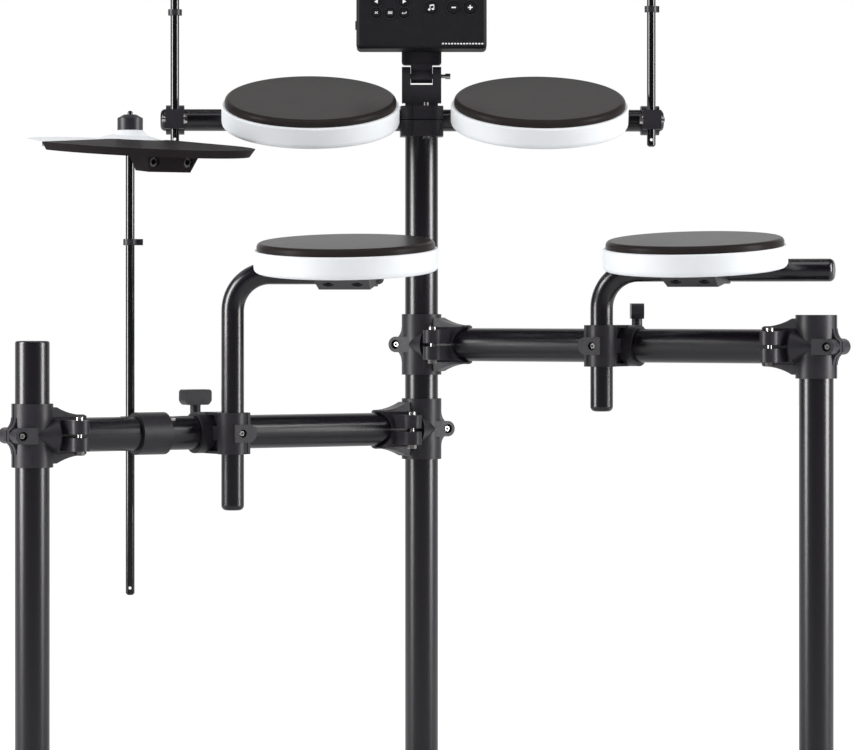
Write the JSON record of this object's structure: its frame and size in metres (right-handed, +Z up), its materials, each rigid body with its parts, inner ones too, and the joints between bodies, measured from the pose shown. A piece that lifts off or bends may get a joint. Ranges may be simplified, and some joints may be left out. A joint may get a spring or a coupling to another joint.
{
  "type": "electronic drum kit",
  "caption": "Compact electronic drum kit: round rubber pads, half-moon cymbal pads and a sound module on a black tube rack with flared tee clamps.",
  "frame": {"origin": "floor under the centre post, at the middle of its rubber foot", "axes": "+X to the drummer's right, +Y away from the drummer, +Z up"},
  "size_m": [0.9392, 0.5588, 1.249],
  "materials": {
    "black_tube": "satin powder coat",
    "black_rod": "gloss",
    "clamp_plastic": "fine matte",
    "foot_rubber": "matte",
    "white_rim": "semi-gloss",
    "pad_rubber": "fine matte",
    "module_shell": "fine matte",
    "key_rubber": "matte"
  },
  "bodies": {
    "stand": {"centre_post": "black_tube", "centre_foot_cap": "foot_rubber", "top_clamp": "clamp_plastic", "cross_pipe": "black_tube", "module_yoke": "clamp_plastic"},
    "left_bar": {"left_bar": "black_tube", "left_bar_sockets": "clamp_plastic", "snare_clamp": "clamp_plastic", "hihat_clamp": "clamp_plastic"},
    "right_bar": {"right_bar": "black_tube", "right_bar_sockets": "clamp_plastic", "floor_tom_clamp": "clamp_plastic"},
    "left_leg": {"left_post": "black_tube", "left_foot_caps": "foot_rubber"},
    "right_leg": {"right_post": "black_tube", "right_foot_caps": "foot_rubber"},
    "snare_knob": {"snare_knob": "clamp_plastic"},
    "floor_tom_knob": {"floor_tom_knob": "clamp_plastic"},
    "snare_arm": {"snare_arm": "black_tube"},
    "floor_tom_arm": {"floor_tom_arm": "black_tube"},
    "crash_clamp": {"crash_clamp": "clamp_plastic"},
    "ride_clamp": {"ride_clamp": "clamp_plastic"},
    "module": {"module_bracket": "clamp_plastic", "module_case": "module_shell"},
    "volume_dial": {"volume_dial": "module_shell"},
    "snare_pad": {"snare_rim": "white_rim", "snare_rubber": "pad_rubber", "snare_jack_case": "clamp_plastic"},
    "floor_tom_pad": {"floor_tom_rim": "white_rim", "floor_tom_rubber": "pad_rubber", "floor_tom_jack_case": "clamp_plastic"},
    "left_tom_pad": {"left_tom_rim": "white_rim", "left_tom_rubber": "pad_rubber", "left_tom_jack_case": "clamp_plastic"},
    "right_tom_pad": {"right_tom_rim": "white_rim", "right_tom_rubber": "pad_rubber", "right_tom_jack_case": "clamp_plastic"},
    "hihat_rod": {"hihat_rod": "black_rod", "hihat_nut": "clamp_plastic"},
    "hihat_cymbal": {"hihat_shell": "white_rim", "hihat_pad": "pad_rubber"},
    "crash_rod": {"crash_rod": "black_rod", "crash_nut": "clamp_plastic"},
    "crash_cymbal": {"crash_shell": "white_rim", "crash_pad": "pad_rubber"},
    "ride_rod": {"ride_rod": "black_rod", "ride_nut": "clamp_plastic"},
    "ride_cymbal": {"ride_shell": "white_rim", "ride_pad": "pad_rubber"},
    "key_left": {"key_left": "key_rubber"},
    "key_right": {"key_right": "key_rubber"},
    "key_exit": {"key_exit": "key_rubber"},
    "key_menu": {"key_menu": "key_rubber"},
    "key_enter": {"key_enter": "key_rubber"},
    "key_kit": {"key_kit": "key_rubber"},
    "key_minus": {"key_minus": "key_rubber"},
    "key_plus": {"key_plus": "key_rubber"}
  },
  "joints": [
    {"name": "left_bar_swing", "type": "hinge", "parent": "stand", "child": "left_bar", "pos_m": [0, 0, 0.47], "axis": [0, 0, 1], "range_deg": [0, 15]},
    {"name": "right_bar_swing", "type": "hinge", "parent": "stand", "child": "right_bar", "pos_m": [0, 0, 0.5675], "axis": [0, 0, 1], "range_deg": [-15, 5]},
    {"name": "left_leg_swing", "type": "hinge", "parent": "left_bar", "child": "left_leg", "pos_m": [-0.42723, -0.25976, 0.47], "axis": [0, 0, 1], "range_deg": [-25, 25]},
    {"name": "right_leg_swing", "type": "hinge", "parent": "right_bar", "child": "right_leg", "pos_m": [0.43518, -0.24621, 0.5675], "axis": [0, 0, 1], "range_deg": [-25, 25]},
    {"name": "snare_knob_turn", "type": "hinge", "parent": "left_bar", "child": "snare_knob", "pos_m": [-0.25646, -0.10561, 0.47], "axis": [0, 0, 1], "continuous": true},
    {"name": "snare_height", "type": "slide", "parent": "left_bar", "child": "snare_arm", "axis": [0, 0, 1], "range_m": [-0.08, 0.05]},
    {"name": "snare_tilt", "type": "hinge", "parent": "snare_arm", "child": "snare_pad", "pos_m": [-0.21074, -0.1808, 0.649], "axis": [0.9925, -0.1219, 0], "range_deg": [-6, 14]},
    {"name": "floor_tom_knob_turn", "type": "hinge", "parent": "right_bar", "child": "floor_tom_knob", "pos_m": [0.24529, -0.08937, 0.5675], "axis": [0, 0, 1], "continuous": true},
    {"name": "floor_tom_height", "type": "slide", "parent": "right_bar", "child": "floor_tom_arm", "axis": [0, 0, 1], "range_m": [-0.018, 0.04]},
    {"name": "floor_tom_tilt", "type": "hinge", "parent": "floor_tom_arm", "child": "floor_tom_pad", "pos_m": [0.20196, -0.16597, 0.652], "axis": [0.9613, -0.2756, 0], "range_deg": [-6, 14]},
    {"name": "left_tom_tilt", "type": "hinge", "parent": "stand", "child": "left_tom_pad", "pos_m": [0, 0, 0.827], "axis": [0.9994, 0.0349, 0], "range_deg": [-13, 2]},
    {"name": "right_tom_tilt", "type": "hinge", "parent": "stand", "child": "right_tom_pad", "pos_m": [0, 0, 0.827], "axis": [0.9994, 0.0349, 0], "range_deg": [-13, 7]},
    {"name": "crash_lean", "type": "hinge", "parent": "stand", "child": "crash_clamp", "pos_m": [0, 0, 0.827], "axis": [0.9994, 0.0349, 0], "range_deg": [0, 15]},
    {"name": "crash_height", "type": "slide", "parent": "crash_clamp", "child": "crash_rod", "axis": [0, 0, 1], "range_m": [-0.1, 0]},
    {"name": "ride_lean", "type": "hinge", "parent": "stand", "child": "ride_clamp", "pos_m": [0, 0, 0.827], "axis": [0.9994, 0.0349, 0], "range_deg": [-10, 15]},
    {"name": "ride_height", "type": "slide", "parent": "ride_clamp", "child": "ride_rod", "axis": [0, 0, 1], "range_m": [-0.1, 0]},
    {"name": "hihat_height", "type": "slide", "parent": "left_bar", "child": "hihat_rod", "axis": [0, 0, 1], "range_m": [-0.12, 0]},
    {"name": "hihat_swing", "type": "hinge", "parent": "hihat_rod", "child": "hihat_cymbal", "pos_m": [-0.32775, -0.14427, 0.793], "axis": [0.8192, 0.5736, 0], "range_deg": [-5, 5], "stiffness_Nm_per_rad": 12},
    {"name": "crash_swing", "type": "hinge", "parent": "crash_rod", "child": "crash_cymbal", "pos_m": [-0.28409, -0.03093, 1.21], "axis": [0.9063, 0.4226, 0], "range_deg": [-5, 5], "stiffness_Nm_per_rad": 12},
    {"name": "ride_swing", "type": "hinge", "parent": "ride_rod", "child": "ride_cymbal", "pos_m": [0.26557, -0.01174, 1.21], "axis": [0.9063, -0.4226, 0], "range_deg": [-5, 5], "stiffness_Nm_per_rad": 12},
    {"name": "module_tilt", "type": "hinge", "parent": "stand", "child": "module", "pos_m": [0, 0, 0.878], "axis": [1, 0, 0], "range_deg": [-20, 12]},
    {"name": "volume_turn", "type": "hinge", "parent": "module", "child": "volume_dial", "pos_m": [0.046, -0.03561, 1.01382], "axis": [0, 0.9976, -0.0698], "range_deg": [-140, 140]},
    {"name": "key_left_press", "type": "slide", "parent": "module", "child": "key_left", "axis": [0, 0.9976, -0.0698], "range_m": [0, 0.001], "stiffness_N_per_m": 600},
    {"name": "key_right_press", "type": "slide", "parent": "module", "child": "key_right", "axis": [0, 0.9976, -0.0698], "range_m": [0, 0.001], "stiffness_N_per_m": 600},
    {"name": "key_exit_press", "type": "slide", "parent": "module", "child": "key_exit", "axis": [0, 0.9976, -0.0698], "range_m": [0, 0.001], "stiffness_N_per_m": 600},
    {"name": "key_menu_press", "type": "slide", "parent": "module", "child": "key_menu", "axis": [0, 0.9976, -0.0698], "range_m": [0, 0.001], "stiffness_N_per_m": 600},
    {"name": "key_enter_press", "type": "slide", "parent": "module", "child": "key_enter", "axis": [0, 0.9976, -0.0698], "range_m": [0, 0.001], "stiffness_N_per_m": 600},
    {"name": "key_kit_press", "type": "slide", "parent": "module", "child": "key_kit", "axis": [0, 0.9976, -0.0698], "range_m": [0, 0.001], "stiffness_N_per_m": 600},
    {"name": "key_minus_press", "type": "slide", "parent": "module", "child": "key_minus", "axis": [0, 0.9976, -0.0698], "range_m": [0, 0.001], "stiffness_N_per_m": 600},
    {"name": "key_plus_press", "type": "slide", "parent": "module", "child": "key_plus", "axis": [0, 0.9976, -0.0698], "range_m": [0, 0.001], "stiffness_N_per_m": 600}
  ]
}
